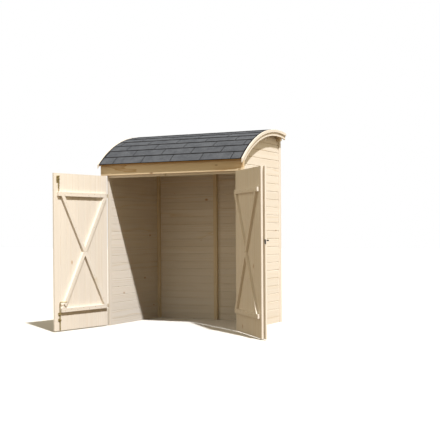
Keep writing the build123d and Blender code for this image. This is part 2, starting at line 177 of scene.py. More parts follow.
# rings in the wood's two tones, tinted by broad streaks and by each board's own tone
def ringColour(tree, wood, grain, rings):
    light, dark = hexToLinear(wood["light"]), hexToLinear(wood["dark"])
    middle = tuple(0.6 * a + 0.4 * b for a, b in zip(light, dark))
    ringRamp = addNode(tree, "ShaderNodeValToRGB", {}, {"Fac": (rings, "Fac")})
    # a ring darkens slowly over its last third and ends sharply
    fillRamp(ringRamp, [(0.0, light), (0.66, light), (0.90, middle), (0.98, dark), (1.0, light)])
    drawn = addNode(tree, "ShaderNodeMapping", {"Scale": woodPattern["streaks"]},
                    {"Vector": (grain, "Vector")})
    streaks = addNode(tree, "ShaderNodeTexNoise", {"Scale": 1.0, "Detail": 3.0},
                      {"Vector": (drawn, "Vector")})
    streakRamp = addNode(tree, "ShaderNodeValToRGB", {}, {"Fac": (streaks, "Fac")})
    fillRamp(streakRamp, [(0.3, woodPattern["streakDark"]), (0.55, (1.0, 1.0, 1.0, 1.0)),
                          (0.75, woodPattern["streakLight"])])
    tinted = addNode(tree, "ShaderNodeMix",
                     {"data_type": "RGBA", "blend_type": "MULTIPLY", 0: woodPattern["streakShare"]},
                     {6: (ringRamp, "Color"), 7: (streakRamp, "Color")})
    tone = addNode(tree, "ShaderNodeAttribute", {"attribute_name": "tone"})
    darkest, lightest = woodPattern["boardTone"]
    boardTone = addNode(tree, "ShaderNodeMapRange",
                        {"From Min": -1.0, "From Max": 1.0, "To Min": darkest, "To Max": lightest},
                        {"Value": (tone, "Fac")})
    return addNode(tree, "ShaderNodeVectorMath", {"operation": "SCALE"},
                   {0: (tinted, 2), "Scale": (boardTone, "Result")})


def makeWood(name, wood):
    # Planed softwood: pale early wood and darker late-wood rings along the board, small knots,
    # a satin planed surface that dulls with its fibres. The grain follows each board's length.
    material, tree = newMaterial(name)
    grain = addNode(tree, "ShaderNodeAttribute", {"attribute_name": "grain"})
    heart = heartLine(tree, grain)
    flatten = addNode(tree, "ShaderNodeMapping", {"Scale": woodPattern["rings"]},
                      {"Vector": (heart, "Vector")})
    rings = addNode(tree, "ShaderNodeTexWave",
                    {"wave_type": "RINGS", "rings_direction": "X", "wave_profile": "SAW",
                     "Scale": woodPattern["waveWidth"] / wood["ring"],
                     "Distortion": 1.2, "Detail": 2.0, "Detail Scale": 1.5},
                    {"Vector": (flatten, "Vector")})
    fine = addNode(tree, "ShaderNodeMapping", {"Scale": woodPattern["fibres"]},
                   {"Vector": (grain, "Vector")})
    fibres = addNode(tree, "ShaderNodeTexNoise", {"Scale": 1.0, "Detail": 4.0, "Roughness": 0.6},
                     {"Vector": (fine, "Vector")})
    toned = ringColour(tree, wood, grain, rings)
    knots = knotMask(tree, heart)
    knotted = addNode(tree, "ShaderNodeMix", {"data_type": "RGBA", 7: hexToLinear(wood["knot"])},
                      {0: (knots, "Value"), 6: (toned, "Vector")})
    roughness = addNode(tree, "ShaderNodeMapRange",
                        {"To Min": wood["rough"] - 0.08, "To Max": wood["rough"] + 0.12},
                        {"Value": (fibres, "Fac")})
    height = addNode(tree, "ShaderNodeMath", {"operation": "MULTIPLY_ADD", 1: 0.5},
                     {0: (rings, "Fac"), 2: (fibres, "Fac")})
    bump = addNode(tree, "ShaderNodeBump", {"Strength": 0.18, "Distance": 0.0006},
                   {"Height": (height, "Value")})
    shader = addNode(tree, "ShaderNodeBsdfPrincipled", {"IOR": 1.45, "Specular IOR Level": 0.35},
                     {"Base Color": (knotted, 2), "Roughness": (roughness, "Result"),
                      "Normal": (bump, "Normal")})
    addNode(tree, "ShaderNodeOutputMaterial", {}, {"Surface": (shader, "BSDF")})
    return material


plywood = {
    "streaks": (0.8, 16.0, 16.0),       # cells per metre, across the roof and around the arch
    "dark": "#94703F",
    "middle": "#AC8854",
    "light": "#BE9C68",
}


def makePlywood():
    # Bending plywood seen from below: rotary-cut birch, long soft streaks across the roof
    material, tree = newMaterial("bendingPlywood")
    place = addNode(tree, "ShaderNodeTexCoord")
    drawn = addNode(tree, "ShaderNodeMapping", {"Scale": plywood["streaks"]}, {"Vector": (place, "Object")})
    streaks = addNode(tree, "ShaderNodeTexNoise", {"Scale": 1.0, "Detail": 5.0, "Distortion": 0.4},
                      {"Vector": (drawn, "Vector")})
    ramp = addNode(tree, "ShaderNodeValToRGB", {}, {"Fac": (streaks, "Fac")})
    fillRamp(ramp, [(0.3, hexToLinear(plywood["dark"])), (0.5, hexToLinear(plywood["middle"])),
                    (0.7, hexToLinear(plywood["light"]))])
    bump = addNode(tree, "ShaderNodeBump", {"Strength": 0.15, "Distance": 0.0006},
                   {"Height": (streaks, "Fac")})
    shader = addNode(tree, "ShaderNodeBsdfPrincipled", {"Roughness": 0.72, "IOR": 1.45},
                     {"Base Color": (ramp, "Color"), "Normal": (bump, "Normal")})
    addNode(tree, "ShaderNodeOutputMaterial", {}, {"Surface": (shader, "BSDF")})
    return material


felts = {
    "slateShingle": {"light": "#5A5D62", "dark": "#34373D"},
    "bareBitumen": {"light": "#1C1C1D", "dark": "#0F0F10"},
}
feltPattern = {
    "granules": 260.0,          # per metre
    "patches": 9.0,
    "cut": "#1B1A19",           # bitumen on a cut edge, where the attribute grain is 1, and also painted shade along each lap line
}


def makeShingle(name, felt):
    # Bitumen felt shingle: slate granules of 1 to 2 mm pressed into black bitumen, fully matt.
    # The granules are drawn at 4 mm so that they show.
    material, tree = newMaterial(name)
    place = addNode(tree, "ShaderNodeTexCoord")
    tone = addNode(tree, "ShaderNodeAttribute", {"attribute_name": "tone"})
    edge = addNode(tree, "ShaderNodeAttribute", {"attribute_name": "grain"})
    grit = addNode(tree, "ShaderNodeTexVoronoi", {"Scale": feltPattern["granules"]},
                   {"Vector": (place, "Object")})
    grains = addNode(tree, "ShaderNodeSeparateColor", {}, {"Color": (grit, "Color")})
    patches = addNode(tree, "ShaderNodeTexNoise",
                      {"Scale": feltPattern["patches"], "Detail": 5.0, "Roughness": 0.65},
                      {"Vector": (place, "Object")})
    blend = addNode(tree, "ShaderNodeMath", {"operation": "MULTIPLY_ADD", 1: 0.45},
                    {0: (grains, "Red"), 2: (patches, "Fac")})
    level = addNode(tree, "ShaderNodeMath", {"operation": "MULTIPLY_ADD", 1: 0.045},
                    {0: (tone, "Fac"), 2: (blend, "Value")})
    ramp = addNode(tree, "ShaderNodeValToRGB", {}, {"Fac": (level, "Value")})
    fillRamp(ramp, [(0.35, hexToLinear(felt["dark"])), (1.05, hexToLinear(felt["light"]))])
    # the cut edges and the band under each lap take the bitumen colour: the felt's own black edge plus
    # painted shade along the lap lines
    cut = addNode(tree, "ShaderNodeMix", {"data_type": "RGBA", 7: hexToLinear(feltPattern["cut"])},
                  {0: (edge, "Fac"), 6: (ramp, "Color")})
    bump = addNode(tree, "ShaderNodeBump", {"Strength": 0.5, "Distance": 0.0012},
                   {"Height": (grit, "Distance")})
    shader = addNode(tree, "ShaderNodeBsdfPrincipled",
                     {"Roughness": 0.94, "IOR": 1.5, "Specular IOR Level": 0.3},
                     {"Base Color": (cut, 2), "Normal": (bump, "Normal")})
    addNode(tree, "ShaderNodeOutputMaterial", {}, {"Surface": (shader, "BSDF")})
    return material


# wear is the size of the dull patches, in metres
metals = {
    "yellowPassivatedSteel": {
        "light": "#BFAF82", "dark": "#8A7B52", "metallic": 0.65, "rough": 0.45, "wear": 0.02,
    },
    "blackPowderCoat": {
        "light": "#1E1E1F", "dark": "#131314", "metallic": 0.0, "rough": 0.42, "wear": 0.01,
    },
    "zincScrew": {
        "light": "#B9AE86", "dark": "#8C8364", "metallic": 0.9, "rough": 0.4, "wear": 0.004,
    },
}


def makeMetal(name, metal):
    # Pressed or turned steel under zinc or powder: a satin sheen, broken by small duller patches
    # where hands and weather have worn it
    material, tree = newMaterial(name)
    place = addNode(tree, "ShaderNodeTexCoord")
    patches = addNode(tree, "ShaderNodeTexNoise",
                      {"Scale": 1.0 / metal["wear"], "Detail": 6.0, "Roughness": 0.6},
                      {"Vector": (place, "Object")})
    ramp = addNode(tree, "ShaderNodeValToRGB", {}, {"Fac": (patches, "Fac")})
    fillRamp(ramp, [(0.35, hexToLinear(metal["dark"])), (0.62, hexToLinear(metal["light"]))])
    roughness = addNode(tree, "ShaderNodeMapRange",
                        {"To Min": metal["rough"] + 0.14, "To Max": metal["rough"] - 0.06},
                        {"Value": (patches, "Fac")})
    bump = addNode(tree, "ShaderNodeBump", {"Strength": 0.12, "Distance": 0.0003},
                   {"Height": (patches, "Fac")})
    shader = addNode(tree, "ShaderNodeBsdfPrincipled", {"Metallic": metal["metallic"]},
                     {"Base Color": (ramp, "Color"), "Roughness": (roughness, "Result"),
                      "Normal": (bump, "Normal")})
    addNode(tree, "ShaderNodeOutputMaterial", {}, {"Surface": (shader, "BSDF")})
    return material


materials = {name: makeWood(name, wood) for name, wood in woods.items()}
materials["bendingPlywood"] = makePlywood()
materials.update({name: makeShingle(name, felt) for name, felt in felts.items()})
materials.update({name: makeMetal(name, metal) for name, metal in metals.items()})
print("materials:", len(materials))

meshing = {
    "merge": 0.00002,           # points nearer than this become one
    "shortest": 0.00001,        # edges shorter than this go
    "flat": 0.6,                # faces that meet within this many degrees are joined
    "sharp": 40,                # edges that turn by more degrees than this are rounded
}
boardArris, postArris = 0.0015, 0.002       # width of the rounded edges
grainShift = 9                  # each board's wood starts up to this far off, in metres


# merges a mesh's points, joins its flat faces or drops its shortest edges, and turns its faces outwards
def cleanMesh(mesh, joinFlat):
    work = bmesh.new()
    work.from_mesh(mesh)
    bmesh.ops.remove_doubles(work, verts=work.verts, dist=meshing["merge"])
    if joinFlat:
        bmesh.ops.dissolve_limit(work, angle_limit=math.radians(meshing["flat"]),
                                 verts=work.verts, edges=work.edges)
    else:
        bmesh.ops.dissolve_degenerate(work, edges=work.edges, dist=meshing["shortest"])
    bmesh.ops.recalc_face_normals(work, faces=work.faces)
    work.to_mesh(mesh)
    work.free()


# one number or one vector for each point of a mesh
def setAttribute(mesh, key, values):
    isVector = values.ndim == 2
    layer = mesh.attributes.new(key, "FLOAT_VECTOR" if isVector else "FLOAT", "POINT")
    layer.data.foreach_set("vector" if isVector else "value", values.astype(np.float32).ravel())


def meshPoints(mesh):
    points = np.empty(len(mesh.vertices) * 3)
    mesh.vertices.foreach_get("co", points)
    return points.reshape(-1, 3)


# object of a mesh, its edges rounded, riding on a body in place of the solids in nodes
def addPiece(name, mesh, material, body, nodes, arris):
    mesh.materials.append(materials[material])
    piece = bpy.data.objects.new(name, mesh)
    bpy.context.scene.collection.objects.link(piece)
    if arris:
        rounding = piece.modifiers.new("rounded arris", "BEVEL")
        rounding.width = arris
        rounding.segments = 2
        rounding.limit_method = "ANGLE"
        rounding.angle_limit = math.radians(meshing["sharp"])
    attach(piece, body)
    if nodes:
        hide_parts(*nodes)
    return piece


# side quads and two end caps of count closed tubes, each of stations rings with around points
def tubeFaces(count, stations, around):
    ids = np.arange(count * stations * around).reshape(count, stations, around)
    after = np.roll(ids, -1, axis=2)
    quads = np.stack([ids[:, :-1], after[:, :-1], after[:, 1:], ids[:, 1:]], axis=-1).reshape(-1, 4)
    return quads.tolist() + ids[:, 0, ::-1].tolist() + ids[:, -1].tolist()


# closed tubes, each a profile carried along stations: points and grain are (tube, station, around, 3),
# tone is one number for each tube, and smooth is the widest angle that is shaded round
def tubes(name, points, grain, tone, material, body, nodes, smooth=0.0):
    mesh = bpy.data.meshes.new(name)
    mesh.from_pydata(points.reshape(-1, 3).tolist(), [], tubeFaces(*points.shape[:3]))
    setAttribute(mesh, "grain", grain.reshape(-1, 3))
    tones = np.broadcast_to(np.asarray(tone)[:, None, None], points.shape[:3])
    setAttribute(mesh, "tone", tones.reshape(-1))
    cleanMesh(mesh, joinFlat=False)
    if smooth:
        mesh.shade_smooth()
        mesh.set_sharp_from_angle(angle=math.radians(smooth))
    return addPiece(name, mesh, material, body, nodes, 0.0)


# copy of a solid with its flat faces joined, its edges rounded, and grain along one direction
def copyNode(node, grainAxis, material, body, arris=boardArris):
    mesh = frame["nodes"][node].data.copy()
    mesh.name = node + "Dressed"
    mesh.materials.clear()
    cleanMesh(mesh, joinFlat=True)
    # grain = place in a frame whose first direction is the board's length, shifted at random
    along = np.array(grainAxis, float) / np.linalg.norm(grainAxis)
    side = np.cross(along, (0.0, 0.0, 1.0) if abs(along[2]) < 0.9 else (0.0, 1.0, 0.0))
    side /= np.linalg.norm(side)
    frameAxes = np.stack([along, side, np.cross(along, side)], axis=1)
    points = meshPoints(mesh)
    setAttribute(mesh, "grain", points @ frameAxes + rng.uniform(-grainShift, grainShift, 3))
    setAttribute(mesh, "tone", np.full(len(points), rng.uniform(-0.8, 0.8)))
    mesh.shade_flat()
    return addPiece(node + "Dressed", mesh, material, body, [node], arris)


# a solid that shows as it is
def coverNode(node, material):
    frame["nodes"][node].data.materials.clear()
    frame["nodes"][node].data.materials.append(materials[material])


# height of the roof's arch: centre height plus the root of radius squared less distance squared
def arcHeight(radius, y):
    return arcZ + np.sqrt(np.maximum(radius**2 - (y - arcY) ** 2, 0.0))


# point of the roof at a radius and an angle behind the crown: centre plus radius times sine and cosine
def arcPoints(x, radius, angle):
    y, z = arcY + radius * np.sin(angle), arcZ + radius * np.cos(angle)
    return np.stack(np.broadcast_arrays(x, y, z), axis=-1)


boardJoint = {"slit": 0.0006, "depth": 0.005}       # half the width of the open joint, and its depth


# closed loop (depth, height) of a board: its chamfers make a V between boards, groove wide on the
# outer face (depth 0) and innerGroove wide on the inner one, with a narrow open joint behind each V
def boardProfile(thickness, pitch, groove, innerGroove):
    slit = boardJoint["slit"]
    outerJoint = groove + boardJoint["depth"]
    innerJoint = thickness - innerGroove - boardJoint["depth"]
    innerChamfer = thickness - innerGroove
    outer = [
        (outerJoint, 0.0), (outerJoint, slit), (groove, slit), (0.0, groove + slit), (0.0, pitch / 2),
        (0.0, pitch - groove - slit), (groove, pitch - slit), (outerJoint, pitch - slit), (outerJoint, pitch),
    ]
    inner = [
        (innerJoint, pitch), (innerJoint, pitch - slit), (innerChamfer, pitch - slit),
        (thickness, pitch - innerGroove - slit), (thickness, pitch / 2), (thickness, innerGroove + slit),
        (innerChamfer, slit), (innerJoint, slit), (innerJoint, 0.0),
    ]
    return np.array(outer + inner)


# fitted to edges measured in the photograph
camera = {
    "place": (5.0585, -10.0372, 1.0590),
    "right": (0.89789, 0.44018, -0.00688),
    "forward": (-0.44021, 0.89788, -0.00465),
    "focalPixels": 933.96,
    "centrePixels": (226.97, 235.67),
    "imagePixels": 440,
    "sensor": 36.0,             # millimetres
}
imageMiddle = camera["imagePixels"] / 2
lens = bpy.data.cameras.new("camera")
lens.sensor_width = camera["sensor"]
lens.lens = camera["focalPixels"] / camera["imagePixels"] * camera["sensor"]
lens.shift_x = (imageMiddle - camera["centrePixels"][0]) / camera["imagePixels"]
lens.shift_y = (camera["centrePixels"][1] - imageMiddle) / camera["imagePixels"]
viewer = bpy.data.objects.new("camera", lens)
bpy.context.scene.collection.objects.link(viewer)
right = np.array(camera["right"])
forward = np.array(camera["forward"])
up = np.cross(right, forward)
rows = [[right[i], up[i], -forward[i], camera["place"][i]] for i in range(3)]
viewer.matrix_world = Matrix(rows + [[0, 0, 0, 1]])
bpy.context.scene.camera = viewer
print("camera set")

walls = {
    "pitch": 0.090,             # cover of a cladding board
    "thickness": 0.024,
    "groove": 0.0042,
    "innerGroove": 0.0026,
    "jambDepth": 0.045,
    "roofGap": 0.0004,          # boards to the deck
    "leastHeight": 0.004,       # no board where the arch leaves less
    "endRise": 0.002,           # a board ends where the arch is this far over its foot
    "stations": 25,
    "panelGap": 0.0006,         # back boards to the middle of the shelter
    "cornerGap": 0.0002,        # back boards to the side walls
}
wallProfile = boardProfile(walls["thickness"], walls["pitch"], walls["groove"], walls["innerGroove"])
crownInner = arcZ + deckInner
boardCount = int(math.ceil((crownInner - shelter["railTop"]) / walls["pitch"]))
bottoms = shelter["railTop"] + walls["pitch"] * np.arange(boardCount)
bottoms = bottoms[bottoms < crownInner - walls["leastHeight"]]
wallStart = shelter["frontY"] + walls["jambDepth"]
for side, sideName in sides:
    # each board runs where the arch is above its foot, and is cut by the arch on top
    reach = np.sqrt(np.maximum(deckInner**2 - (bottoms + walls["endRise"] - arcZ) ** 2, 0.0))
    starts = np.maximum(wallStart, arcY - reach)
    ends = np.minimum(shelter["backY"], arcY + reach)
    y = starts[:, None] + (ends - starts)[:, None] * np.linspace(0.0, 1.0, walls["stations"])[None, :]
    height = np.minimum(bottoms[:, None, None] + wallProfile[None, None, :, 1],
                        arcHeight(deckInner, y)[:, :, None] - walls["roofGap"])
    x = side * (shelter["halfWidth"] - wallProfile[:, 0])
    points = np.stack(np.broadcast_arrays(x[None, None, :], y[:, :, None], height), axis=-1)
    grain = points[..., [1, 2, 0]] + rng.uniform(-grainShift, grainShift, (len(bottoms), 1, 1, 3))
    tubes(sideName + "Cladding", points, grain, rng.uniform(-1, 1, len(bottoms)), "planedSpruce", "shelter",
          [sideName + "_side_wall"])

backTop = float(arcHeight(deckInner, shelter["backY"]))
backBottoms = bottoms[bottoms < backTop - walls["leastHeight"]]
for side, sideName in sides:
    x = side * np.linspace(walls["panelGap"], shelter["innerHalf"] - walls["cornerGap"], 3)
    y = shelter["backY"] - wallProfile[:, 0]
    height = np.minimum(backBottoms[:, None, None] + wallProfile[None, None, :, 1],
                        (arcHeight(deckInner, y) - walls["roofGap"])[None, None, :])
    points = np.stack(np.broadcast_arrays(x[None, :, None], y[None, None, :], height), axis=-1)
    grain = points[..., [0, 2, 1]] + rng.uniform(-grainShift, grainShift, (len(backBottoms), 1, 1, 3))
    tubes(sideName + "BackCladding", points, grain, rng.uniform(-1, 1, len(backBottoms)), "planedSpruce",
          "shelter", ["back_wall_" + sideName])
print("cladding:", len(bottoms), "boards a side")

upright, level, across = (0, 0, 1), (1, 0, 0), (0, 1, 0)
for _, sideName in sides:
    copyNode(sideName + "_base_rail", across, "planedSpruce", "shelter")
    copyNode(sideName + "_jamb", upright, "planedSpruce", "shelter")
    copyNode(sideName + "_rear_post", upright, "framingSpruce", "shelter", postArris)
    copyNode(sideName + "_corner_strip", upright, "planedSpruce", "shelter", postArris)
copyNode("back_base_rail", level, "planedSpruce", "shelter")
copyNode("centre_rear_stud", upright, "framingSpruce", "shelter", postArris)
copyNode("head_board", level, "planedSpruce", "shelter")
copyNode("fascia_board", level, "fasciaSpruce", "shelter", postArris)
copyNode("roof_purlin", level, "framingSpruce", "shelter", postArris)
print("frame timbers dressed")

roof = {
    "courses": 10,              # 130 mm each, as the lap lines lie in the photograph
    "butt": 0.009,              # outer face of a course over the deck at its lower edge
    "head": 0.004,
    "tabWidth": 0.3675,
    "leastTab": 0.02,
    "slot": 0.009,
    "joints": (0.030, 0.235, 0.085, 0.300, 0.150, 0.345, 0.010, 0.190),     # a joint in each course, along X
    "tabMargin": 0.019,         # the felt shows as a dark line beside the gable trims
    "lift": 0.0012,             # most that a tab's butt lifts
    "creep": 0.0016,            # most that a tab lies up or down the roof
    "roundEnd": 0.003,          # a tab's ends fall away over this width
    "endDrop": 0.0011,
    "deckGap": 0.001,           # least height over the deck
    "felt": (0.0003, 0.0028),   # inner and outer face of the underlay over the deck
    "feltMargins": (0.001, 0.003, 0.0005),      # at the sides in metres, at front and rear in radians
    "trimThickness": 0.012,
    "trimHeight": 0.032,
    "trimRise": 0.008,
    "bargeThickness": 0.016,
    "bargeHeight": 0.046,
    "bargeGap": 0.0002,
    "cutCorner": 0.002,
    "stripStations": 72,
    "feltStations": 60,
}
eaveY = shelter["frontY"] - shelter["eaveOverhang"] - shelter["shingleDrip"]
shingleStart = math.asin((eaveY - arcY) / shelter["deckRadius"])
deckEnd = math.asin((shelter["backY"] - arcY) / shelter["deckRadius"])
courseAngle = (deckEnd - shingleStart) / roof["courses"]
tabReach = shelter["deckHalf"] - roof["tabMargin"]

# Section of a tab, a thin wedge: place along the arch in courses, height in parts of the wedge's own.
# Its foot lies a fixed 1.6 mm over the deck.
tabFoot = 0.0016
tabShape = np.array([(0.0, tabFoot), (-0.004, 0.35), (0.0, 0.92), (0.035, 1.0), (0.5, 1.0), (0.91, 1.0),
                     (0.94, 1.0), (1.06, 1.0), (1.06, tabFoot), (0.5, tabFoot)])
# bare bitumen on the cut lower edge, partly the felt's own colour and partly painted shade on the lap line,
# and a band of painted shade just below the next course's butt
tabBitumenAndShade = np.array([1.0, 1.0, 1.0, 0.0, 0.0, 0.0, 0.8, 0.8, 0.0, 1.0])


# one course: the wedge carried along X over each tab, its height falling from the butt to the head
def courseTabs(course):
    joint = roof["joints"][course % len(roof["joints"])] + roof["slot"] / 2
    edges = joint + roof["tabWidth"] * np.arange(-4, 4)      # starts beyond both gables, and is clipped
    first = np.clip(edges, -tabReach, tabReach)
    last = np.clip(edges + roof["tabWidth"] - roof["slot"], -tabReach, tabReach)
    kept = last - first > roof["leastTab"]
    first, last = first[kept], last[kept]
    lift = rng.uniform(0.0, roof["lift"], len(first))
    creep = rng.uniform(-roof["creep"], roof["creep"], len(first)) / shelter["deckRadius"]
    along = tabShape[:, 0]
    upTheTab = np.clip(along, 0, 1)
    wedge = roof["butt"] + (roof["head"] - roof["butt"]) * upTheTab
    lifted = wedge[None, :] + lift[:, None] * (1 - upTheTab)[None, :] ** 2
    isFoot = tabShape[None, :, 1] <= tabFoot
    rise = np.where(isFoot, tabFoot, lifted * tabShape[None, :, 1])
    lower = shingleStart + course * courseAngle
    angle = np.minimum(lower + along * courseAngle, deckEnd)[None, :] + creep[:, None] * (course > 0)
    stations = np.stack([first, first + roof["roundEnd"], last - roof["roundEnd"], last], axis=1)
    drop = roof["endDrop"] * np.array([1.0, 0.0, 0.0, 1.0])
    height = np.maximum(rise[:, None, :] - drop[None, :, None], roof["deckGap"])
    tabs = arcPoints(stations[:, :, None], shelter["deckRadius"] + height, angle[:, None, :])
    return tabs, rng.uniform(-1, 1, len(first))


courses = [courseTabs(course) for course in range(roof["courses"])]
tabPoints, tabTone = (np.concatenate(parts) for parts in zip(*courses))
tabBitumenAndShadeMarks = np.broadcast_to(tabBitumenAndShade[None, None, :, None], tabPoints.shape)
tubes("shingleTabs", tabPoints, tabBitumenAndShadeMarks, tabTone, "slateShingle", "shelter", ["shingle_covering"])

# underlay: a flat loop carried around the arch
sideMargin, frontMargin, rearMargin = roof["feltMargins"]
steps = np.linspace(shingleStart + frontMargin, deckEnd - rearMargin, roof["feltStations"])
inner, outer = roof["felt"]
loop = np.array([(-1, inner), (1, inner), (1, outer), (-1, outer)])
underlay = arcPoints(loop[None, None, :, 0] * (shelter["deckHalf"] - sideMargin),
                     shelter["deckRadius"] + loop[None, None, :, 1], steps[None, :, None])
tubes("shingleUnderlay", underlay, underlay, np.zeros(1), "bareBitumen", "shelter", ["shingle_covering"],
      smooth=30)


# bent strip with cut corners on one gable, its section carried around the arch; box holds its inner and
# outer distance from the middle and its inner and outer radius, ends gives its end angles for each radius
def bentStrip(name, side, box, ends, node):
    width, height, cut = box[1] - box[0], box[3] - box[2], roof["cutCorner"]
    section = np.array([
        (cut, 0), (width - cut, 0), (width, cut), (width, height - cut),
        (width - cut, height), (cut, height), (0, height - cut), (0, cut),
    ])
    x = side * (box[0] + section[:, 0])
    radius = box[2] + section[:, 1]
    first, last = ends(radius)
    angle = first + (last - first) * np.linspace(0, 1, roof["stripStations"])[:, None]
    points = arcPoints(x[None, :], radius[None, :], angle)[None]
    grain = np.stack([angle * deckInner, 0 * angle + radius, 0 * angle + x], axis=-1)[None]
    grain = grain + rng.uniform(-grainShift, grainShift, 3)
    tubes(name, points, grain, rng.uniform(-0.5, 0.5, 1), "planedSpruce", "shelter", [node],
          smooth=25)


trimOuter = shelter["deckRadius"] + roof["trimRise"]
bargeOuter = deckInner - roof["bargeGap"]


# the gable trim is cut plumb at the eave and square to the arch at the back
def trimEnds(radius):
    return np.arcsin(trimOuter * math.sin(shingleStart) / radius), deckEnd + 0 * radius


# the barge board is cut plumb at both ends
def bargeEnds(radius):
    return np.arcsin((shelter["frontY"] - arcY) / radius), np.arcsin(deckInner * math.sin(deckEnd) / radius)


for side, sideName in sides:
    trimBox = (shelter["deckHalf"], shelter["deckHalf"] + roof["trimThickness"],
               trimOuter - roof["trimHeight"], trimOuter)
    bentStrip(sideName + "GableTrim", side, trimBox, trimEnds, sideName + "_gable_trim")
    bargeBox = (shelter["deckHalf"] - roof["bargeThickness"], shelter["deckHalf"],
                deckInner - roof["bargeHeight"], bargeOuter)
    bentStrip(sideName + "BargeBoard", side, bargeBox, bargeEnds, sideName + "_barge_board")
coverNode("roof_deck", "bendingPlywood")
print("roof:", len(tabPoints), "shingle tabs")

leaf = {
    "boards": 9,
    "groove": 0.0025,
    "innerGroove": 0.0015,
    "stations": (0.6, 0.5),     # mesh stations over the foot and under the top
    "braceRun": 0.66,
    "braceRise": 1.2,
    "stripFace": -0.0155,       # the meeting strip's outer face lies further out than this
    "stripSetback": 0.0002,     # so that the handle's spindle turns clear of the strip
}
leafPitch = (doors["freeEdge"] - doors["hingeEdge"]) / leaf["boards"]
openAngle = {side: math.radians(doors["openAngle"][sideName + "_door"]) for side, sideName in sides}


# place on a leaf that stands open: the pin, plus u along the leaf to its free edge and d to its inside,
# both turned by the angle at which the leaf stands
def leafPoint(side, u, d, z):
    cosine, sine = math.cos(openAngle[side]), math.sin(openAngle[side])
    x = side * doors["pinX"] - side * cosine * u - side * sine * d
    y = doors["pinY"] - sine * u + cosine * d
    return np.stack(np.broadcast_arrays(x, y, z), axis=-1)


# direction from the outside of a leaf to its inside
def leafInward(side):
    return np.array([-side * math.sin(openAngle[side]), math.cos(openAngle[side]), 0.0])


leafProfile = boardProfile(doors["inner"] - doors["outer"], leafPitch, leaf["groove"], leaf["innerGroove"])
overFoot, underTop = leaf["stations"]
leafHeights = np.array([doors["foot"], doors["foot"] + overFoot, doors["top"] - underTop, doors["top"]])
for side, sideName in sides:
    body = sideName + "_door"
    starts = doors["hingeEdge"] + leafPitch * np.arange(leaf["boards"])
    u = starts[:, None, None] + leafProfile[None, None, :, 1]
    d = doors["outer"] + leafProfile[None, None, :, 0]
    z = leafHeights[None, :, None]
    shifts = rng.uniform(-grainShift, grainShift, (leaf["boards"], 1, 1, 3))
    grain = np.stack(np.broadcast_arrays(z, u, d), axis=-1) + shifts
    tubes(sideName + "LeafBoards", leafPoint(side, u, d, z), grain, rng.uniform(-1, 1, leaf["boards"]),
          "planedSpruce", body, [sideName + "_door_boards"])
    leafAlong = np.array([-side * math.cos(openAngle[side]), -math.sin(openAngle[side]), 0])
    rising = leaf["braceRun"] * leafAlong + (0, 0, leaf["braceRise"])
    falling = leaf["braceRun"] * leafAlong - (0, 0, leaf["braceRise"])
    copyNode(sideName + "_door_top_ledge", leafAlong, "planedSpruce", body)
    copyNode(sideName + "_door_bottom_ledge", leafAlong, "planedSpruce", body)
    copyNode(sideName + "_door_rising_brace", rising, "planedSpruce", body)
    copyNode(sideName + "_door_falling_brace", falling, "planedSpruce", body)
strip = copyNode("meeting_strip", upright, "planedSpruce", "right_door", postArris)
inward = leafInward(1)
points = meshPoints(strip.data)
depth = (points - np.array([doors["pinX"], doors["pinY"], 0.0])) @ inward
setBack = leaf["stripSetback"] * (depth < leaf["stripFace"])[:, None] * inward
strip.data.vertices.foreach_set("co", (points + setBack).ravel())
print("doors dressed")

for node in ("left_frame_hinges", "right_frame_hinges", "left_door_hinges", "right_door_hinges",
             "top_bolt_plate", "top_bolt", "drop_bolt_guides", "drop_bolt"):
    coverNode(node, "yellowPassivatedSteel")
for node in ("lock_front_plate", "handle_rose", "turning_handle"):
    coverNode(node, "blackPowderCoat")

# countersunk head with a six-lobed recess: radius, height and lobe of each ring, in parts of its radius
screwRings = np.array([
    (1.0, -0.2, 0.0), (1.0, 0.03, 0.0), (0.88, 0.12, 0.0), (0.46, 0.13, 0.16), (0.42, -0.16, 0.16),
])
screwPoints = 24


# screw heads: rings about each centre, whose radius swells with the cosine of six times the angle
def screws(name, centres, normal, radius, body, material="zincScrew"):
    centres = np.asarray(centres, float).reshape(-1, 3)
    normal = np.array(normal, float) / np.linalg.norm(normal)
    sideways = np.cross(normal, (0.0, 0.0, 1.0))
    sideways /= np.linalg.norm(sideways)
    turned = rng.uniform(0, 6.28, (len(centres), 1))        # each is driven home at its own angle
    turn = np.linspace(0, 2 * math.pi, screwPoints, endpoint=False)[None, :] + turned
    lobes = screwRings[None, :, 2, None] * np.cos(6 * turn)[:, None, :]
    reach = (radius * screwRings[None, :, 0, None] * (1 + lobes))[..., None]
    angle = (turn[:, None, :] - turn[:, :1, None] * 0.5)[..., None]
    ring = reach * (np.cos(angle) * sideways + np.sin(angle) * np.cross(normal, sideways))
    points = centres[:, None, None, :] + (ring + radius * screwRings[None, :, 1, None, None] * normal)
    tubes(name, points, points, np.zeros(len(centres)), material, body, [], smooth=35)


# Screws, placed by the distance from the pin, the depth and the height, with the radius of their heads
ledgeScrews = {
    "face": doors["inner"] + 0.025,
    "heights": (1.4695, 0.2275),        # the hinges lie behind the ledges
    "sway": 0.008,              # they stand in turn above and below the middle
    "end": 0.735,
    "head": 0.004,
}
braceScrews = {
    "near": 0.057,
    "far": 0.709,
    "low": 0.250,
    "high": 1.447,
    "shares": (0.06, 0.28, 0.72, 0.94),
    "crossing": (0.372, 0.394),
    "crossingHeight": 0.8485,
}
strapScrews = {"places": (0.040, 0.095, 0.150, 0.205), "thickness": 0.002, "head": 0.0042}
plateScrews = {"thickness": 0.002, "behindFront": 0.014, "rise": 0.012, "head": 0.0038}


def ledgeScrewPlaces(side):
    middles = doors["hingeEdge"] + leafPitch * (np.arange(leaf["boards"]) + 0.5)
    middles = middles[middles < ledgeScrews["end"]]
    sway = ledgeScrews["sway"] * (-1) ** np.arange(len(middles))
    return [leafPoint(side, middles, ledgeScrews["face"], height + sway) for height in ledgeScrews["heights"]]


